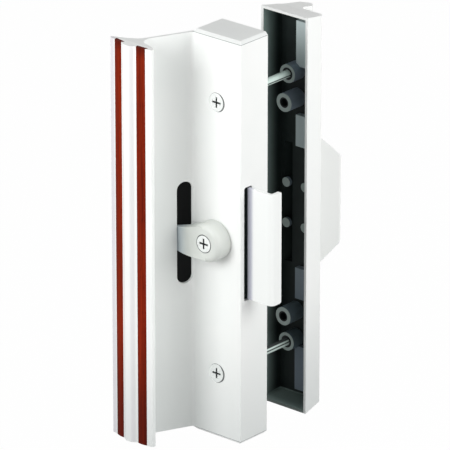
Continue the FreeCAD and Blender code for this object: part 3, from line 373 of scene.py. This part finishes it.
def lever_white(name):
    """White enamel over a cast skin, with painted blue-grey shade where the arm runs in the web's slot and painted
    shade in the countersink round its screw.
    """
    paint = Paint(name)
    x, y = paint.axes()[:2]
    peel = paint.noise(1.6, detail=3.0)
    cloud = paint.noise(6.0, detail=3.0, seed=3.0)
    # Painted shade on the arm towards the web's slot
    arm_shade = (PIVOT_X - x).step(*ARM_SHADE_FADE)
    depth = y - LEVER_FACE_Y
    sink = paint.from_axes(PIVOT_X, (0.0,)).step(*LEVER_SINK_RADIUS_FADE)
    sink = sink * depth.step(*LEVER_SINK_TOP_FADE) * depth.step(*LEVER_SINK_FLOOR_FADE)
    tone = paint.mix(arm_shade, paint.mix(cloud, LEVER_WHITE, LEVER_WHITE_WARM), LEVER_ARM_SHADE)
    paint.set(base=paint.mix(sink, tone, PAINTED_GAP_SHADE), rough=0.36 + 0.12 * cloud, specular=0.4)
    paint.bump(peel, 0.02)
    return paint.material


# Hollow tones: its dark is partly bare metal and partly painted shade, also in the bosses' mouths; the grey-green is
# painted light near the mouth and ends
BARE_AND_SHADE_DARK = (0.004, 0.007, 0.007)
BARE_AND_SHADE_MID = (0.02, 0.034, 0.031)
HOLLOW_PAINTED_LIGHT = (0.26, 0.34, 0.32)
BOSS_LIT = (0.24, 0.29, 0.35)
BOSS_SHADED = (0.12, 0.16, 0.18)
BOSS_FACE = (0.38, 0.45, 0.43)
RIM_SHADOW = (0.13, 0.16, 0.15)
PAD_LIT = (0.62, 0.72, 0.72)
PAD_SHADED = (0.16, 0.2, 0.24)

# The outside pull's hollow at its mouth, in millimetres, and how fast its sides close in with depth

CAVITY_MIDDLE = 1.05
CAVITY_HALF_WIDTH = 11.85
CAVITY_HALF_LENGTH = 91.1
CAVITY_SLOPE = 0.1405
CAVITY_MARGIN_FADE = (0.15, 0.05)
CAVITY_TOP_FADE = (0.03, 0.2)
CAVITY_FLOOR_FADE = (36.6, 36.3)
ABOVE_FLOOR_FADE = (35.95, 35.85)
LIT_DEPTH_FADE = (34.5, 25.5)
LIT_END_FADE = (90.3, 90.9)
RIM_FOOT_FADE = (-90.8, -91.0)
RIM_DEPTH_FADE = (0.3, 0.1)
RIM_ACROSS_FADE = (11.9, 11.7)
CAST_FOOT_FADE = (-25.0, -92.0)

# The core that runs on from the hollow into the horn: its sides lean, by so much across for each step out

CORE_START = 35.0
CORE_LEFT_LEAN = 0.447
CORE_RIGHT_LEAN = 0.21
CORE_LEFT_FADE = (-8.4, -8.2)
CORE_RIGHT_FADE = (-2.85, -3.0)
CORE_HALF_LENGTH = 28.3
CORE_MOUTH_FADE = (36.0, 36.2)
CORE_END_FADE = (42.9, 42.75)

# Bosses, pegs and pads in the hollow

BOSS_RADIUS_FADE = (4.4, 4.3)
SCREW_BOSS_FACE_FADE = (29.0, 28.85)
SPARE_BOSS_FACE_FADE = (26.8, 26.65)
SCREW_MOUTH_FADE = (2.9, 2.7)
SPARE_MOUTH_FADE = (2.5, 2.3)
PEG_ACROSS = 5.3
PEG_HEIGHT = 9.5
PEG_RADIUS = 2.25
PEG_FACE_FADE = (34.6, 34.45)
LONG_PAD = (75.9, 10.5)
SHORT_PAD = (35.75, 7.35)
PAD_LEFT = 1.2
PAD_TONE_FADE = (-60.0, 75.0)
BOSS_TONE_FADE = (-60.0, 60.0)


def outside_cast(name):
    """White enamel outside and on the rim, with painted shade towards the foot and a painted shadow line along the
    lower rim; the hollow's walls are dark, partly bare metal and partly painted shade, with painted light near the
    mouth and ends, and its bosses and pads are grey, with painted light above and painted shade below.
    """
    paint = Paint(name)
    x, y, z = paint.axes()
    peel = paint.noise(1.6, detail=3.0)
    cloud = paint.noise(20.0, detail=2.0, seed=3.0)
    blotch = paint.noise(5.0, detail=4.0, seed=6.0)
    white = paint.mix(cloud, WHITE, WHITE_WARM)
    white = paint.mix(z.step(*CAST_FOOT_FADE), white, WHITE_FOOT_SHADE)
    depth = y - DOOR_THICKNESS
    # Painted shadow: a dark line along the hollow's lower rim
    rim_foot = z.step(*RIM_FOOT_FADE) * depth.step(*RIM_DEPTH_FADE) * (x - CAVITY_MIDDLE).step(*RIM_ACROSS_FADE)
    white = paint.mix(rim_foot, white, RIM_SHADOW)
    taper = depth * CAVITY_SLOPE
    across = ((x - CAVITY_MIDDLE).size() + taper - CAVITY_HALF_WIDTH).step(*CAVITY_MARGIN_FADE)
    inside = across * (z.size() + taper - CAVITY_HALF_LENGTH).step(*CAVITY_MARGIN_FADE)
    inside = inside * depth.step(*CAVITY_TOP_FADE) * y.step(*CAVITY_FLOOR_FADE)
    core_left = (x - (y - CORE_START) * CORE_LEFT_LEAN).step(*CORE_LEFT_FADE)
    core_right = (x - (y - CORE_START) * CORE_RIGHT_LEAN).step(*CORE_RIGHT_FADE)
    core = core_left * core_right * (z.size() - CORE_HALF_LENGTH).step(0.2, 0.0)
    core = core * y.step(*CORE_MOUTH_FADE) * y.step(*CORE_END_FADE)
    on_screws = paint.from_axes(0.0, (SCREW_HEIGHT, -SCREW_HEIGHT))
    on_spares = paint.from_axes(0.0, (SPARE_HEIGHT, -SPARE_HEIGHT))
    nearest = on_screws.math("MINIMUM", on_spares)
    bosses = nearest.step(*BOSS_RADIUS_FADE)
    screw_faces = on_screws.step(*BOSS_RADIUS_FADE) * y.step(*SCREW_BOSS_FACE_FADE)
    spare_faces = on_spares.step(*BOSS_RADIUS_FADE) * y.step(*SPARE_BOSS_FACE_FADE)
    mouths = on_screws.step(*SCREW_MOUTH_FADE).math("MAXIMUM", on_spares.step(*SPARE_MOUTH_FADE))
    peg_x, peg_z = x.size() - PEG_ACROSS, z.size() - PEG_HEIGHT
    pegs = ((peg_x * peg_x + peg_z * peg_z).math("SQRT") - PEG_RADIUS).step(0.1, 0.0)
    past_pads = [(z.size() - middle).size() - half for middle, half in (LONG_PAD, SHORT_PAD)]
    pads = past_pads[0].math("MINIMUM", past_pads[1]).math("MAXIMUM", PAD_LEFT - x).step(0.1, 0.0)
    # Pads, bosses and pegs: painted light above, painted shade below
    pad_tone = paint.mix(z.step(*PAD_TONE_FADE), PAD_SHADED, PAD_LIT)
    boss_tone = paint.mix(z.step(*BOSS_TONE_FADE), BOSS_SHADED, BOSS_LIT)
    above_floor = y.step(*ABOVE_FLOOR_FADE)
    # Painted light: the hollow's walls are lighter near the mouth and the ends
    lit_share = y.step(*LIT_DEPTH_FADE).math("MAXIMUM", (z.size() + taper).step(*LIT_END_FADE) * 0.7)
    # Dark of the hollow: partly bare metal, partly painted shade
    dark = paint.mix(blotch * 0.5, BARE_AND_SHADE_DARK, BARE_AND_SHADE_MID)
    bare_and_shade = paint.mix(lit_share, dark, HOLLOW_PAINTED_LIGHT)
    bare_and_shade = paint.mix(pads * above_floor, bare_and_shade, pad_tone)
    bare_and_shade = paint.mix(bosses.math("MAXIMUM", pegs) * above_floor, bare_and_shade, boss_tone)
    faces = screw_faces.math("MAXIMUM", spare_faces).math("MAXIMUM", pegs * y.step(*PEG_FACE_FADE))
    bare_and_shade = paint.mix(faces, bare_and_shade, BOSS_FACE)
    bare_and_shade = paint.mix(mouths, bare_and_shade, BARE_AND_SHADE_DARK)
    hollow = inside.math("MAXIMUM", core)
    paint.set(base=paint.mix(hollow, white, bare_and_shade), rough=0.36 + 0.25 * hollow, specular=0.25)
    paint.bump(peel, 0.02)
    return paint.material


def dress(material, *names):
    for name in names:
        mesh = nodes[name].data
        mesh.materials.clear()
        mesh.materials.append(material)


def dress_frame():
    """Gives every CAD node its finish."""
    dress(pull_enamel("drawn_enamel"), "inside_pull")
    dress(plate_enamel("pressed_enamel"), "clamp_plate")
    dress(cap_nylon("cap_nylon"), "top_end_cap", "bottom_end_cap")
    dress(nylon("washer_nylon", WHITE, WHITE_WARM, 0.42), "lever_washer")
    dress(lever_white("lever_cast"), "thumb_lever")
    dress(outside_cast("pull_cast"), "outside_pull")
    dress(red_wood("strip_wood"), "outer_wood_strip", "inner_wood_strip")
    dress(nylon("guard_nylon", (0.002, 0.0025, 0.0025), (0.006, 0.007, 0.007), 0.7, 0.12), "lever_guard")
    dress(plated_screw("long_screws", 0.0, (SCREW_HEIGHT, -SCREW_HEIGHT), BOX_FACE_Y, crescent=0.85),
          "upper_mounting_screw", "lower_mounting_screw")
    dress(plated_screw("short_screw", PIVOT_X, (0.0,), LEVER_FACE_Y), "lever_screw")
    dress(zinc_plate("plated_steel"), "upper_guard_rivet", "lower_guard_rivet", "latch_frame", "hinge_pin",
          "lever_cam")
    dress(zinc_plate("spring_steel", (0.16, 0.17, 0.18), (0.3, 0.31, 0.33), 0.34), "cam_spring", "pin_clip")


def camera_axes():
    """Directions from the target back to the camera, and to its right."""
    azimuth, elevation = math.radians(CAMERA_AZIMUTH), math.radians(CAMERA_ELEVATION)
    back = Vector((math.sin(azimuth) * math.cos(elevation), -math.cos(azimuth) * math.cos(elevation),
                   math.sin(elevation)))
    return back, Vector((math.cos(azimuth), math.sin(azimuth), 0.0))


def add_camera():
    back, right = camera_axes()
    data = bpy.data.cameras.new("photo_camera")
    data.lens = CAMERA_LENS
    data.sensor_width = SENSOR
    data.clip_start, data.clip_end = 0.1, 20.0
    camera = bpy.data.objects.new("photo_camera", data)
    target = Vector(TARGET) + right * TARGET_RIGHT
    camera.location = (target + back * CAMERA_DISTANCE) * MM
    camera.rotation_euler = (-back).to_track_quat("-Z", "Y").to_euler()
    bpy.context.scene.collection.objects.link(camera)
    bpy.context.scene.camera = camera


def add_lamp(name, azimuth, elevation, strength, size, distance=0.5):
    """A square soft lamp that shines on the object from a direction given as for the camera."""
    a, e = math.radians(azimuth), math.radians(elevation)
    back = Vector((math.sin(a) * math.cos(e), -math.cos(a) * math.cos(e), math.sin(e)))
    data = bpy.data.lights.new(name, "AREA")
    data.energy = strength
    data.size = size
    lamp = bpy.data.objects.new(name, data)
    lamp.location = back * distance
    lamp.rotation_euler = (-back).to_track_quat("-Z", "Y").to_euler()
    bpy.context.scene.collection.objects.link(lamp)


WORLD_LIGHT = 0.24
FLOOR_DROP = 12.0
FLOOR_GLOW = 0.99


def seen_directly(tree):
    """1 for a ray from the camera, or one that a polished or clear surface sends on, and 0 for any other."""
    path = tree.nodes.new("ShaderNodeLightPath")
    seen = path.outputs["Is Camera Ray"]
    for ray in ("Is Glossy Ray", "Is Transmission Ray"):
        either = tree.nodes.new("ShaderNodeMath")
        either.operation = "MAXIMUM"
        tree.links.new(seen, either.inputs[0])
        tree.links.new(path.outputs[ray], either.inputs[1])
        seen = either.outputs[0]
    return seen


def add_world():
    """White to the camera and to reflections, and a plain soft light to everything else."""
    world = bpy.data.worlds.new("studio")
    bpy.context.scene.world = world
    world.use_nodes = True
    tree = world.node_tree
    background = tree.nodes["Background"]
    strength = tree.nodes.new("ShaderNodeMapRange")
    strength.inputs["To Min"].default_value = WORLD_LIGHT
    strength.inputs["To Max"].default_value = 1.0
    tree.links.new(seen_directly(tree), strength.inputs["Value"])
    tree.links.new(strength.outputs[0], background.inputs["Strength"])
    background.inputs["Color"].default_value = (1.0, 1.0, 1.0, 1.0)


def add_floor():
    """A wide pale floor under the object that shows white and keeps a faint shadow."""
    low = (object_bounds()[0].z / MM - FLOOR_DROP) * MM
    half = 6.0
    corners = np.array([(-half, -half, low), (half, -half, low), (half, half, low), (-half, half, low)])
    mesh = bpy.data.meshes.new("floor")
    mesh.from_pydata(corners.tolist(), [], [(0, 1, 2, 3)])
    floor = bpy.data.objects.new("floor", mesh)
    bpy.context.scene.collection.objects.link(floor)
    material = bpy.data.materials.new("floor")
    material.use_nodes = True
    tree = material.node_tree
    output = tree.nodes["Material Output"]
    matt = tree.nodes["Principled BSDF"]
    matt.inputs["Base Color"].default_value = (0.55, 0.55, 0.55, 1.0)
    matt.inputs["Roughness"].default_value = 0.9
    glow = tree.nodes.new("ShaderNodeEmission")
    glow.inputs["Strength"].default_value = 1.0
    share = tree.nodes.new("ShaderNodeMath")
    share.operation = "MULTIPLY"
    share.inputs[1].default_value = FLOOR_GLOW
    tree.links.new(seen_directly(tree), share.inputs[0])
    mixer = tree.nodes.new("ShaderNodeMixShader")
    tree.links.new(share.outputs[0], mixer.inputs[0])
    tree.links.new(matt.outputs[0], mixer.inputs[1])
    tree.links.new(glow.outputs[0], mixer.inputs[2])
    tree.links.new(mixer.outputs[0], output.inputs["Surface"])
    mesh.materials.append(material)


dress_frame()
add_camera()
add_world()
add_floor()
add_lamp("key_lamp", -8.0, 26.0, 2.0, 0.3)
add_lamp("side_lamp", 102.0, 27.0, 1.55, 0.3, distance=0.45)

bpy.context.scene.view_settings.view_transform = "Standard"
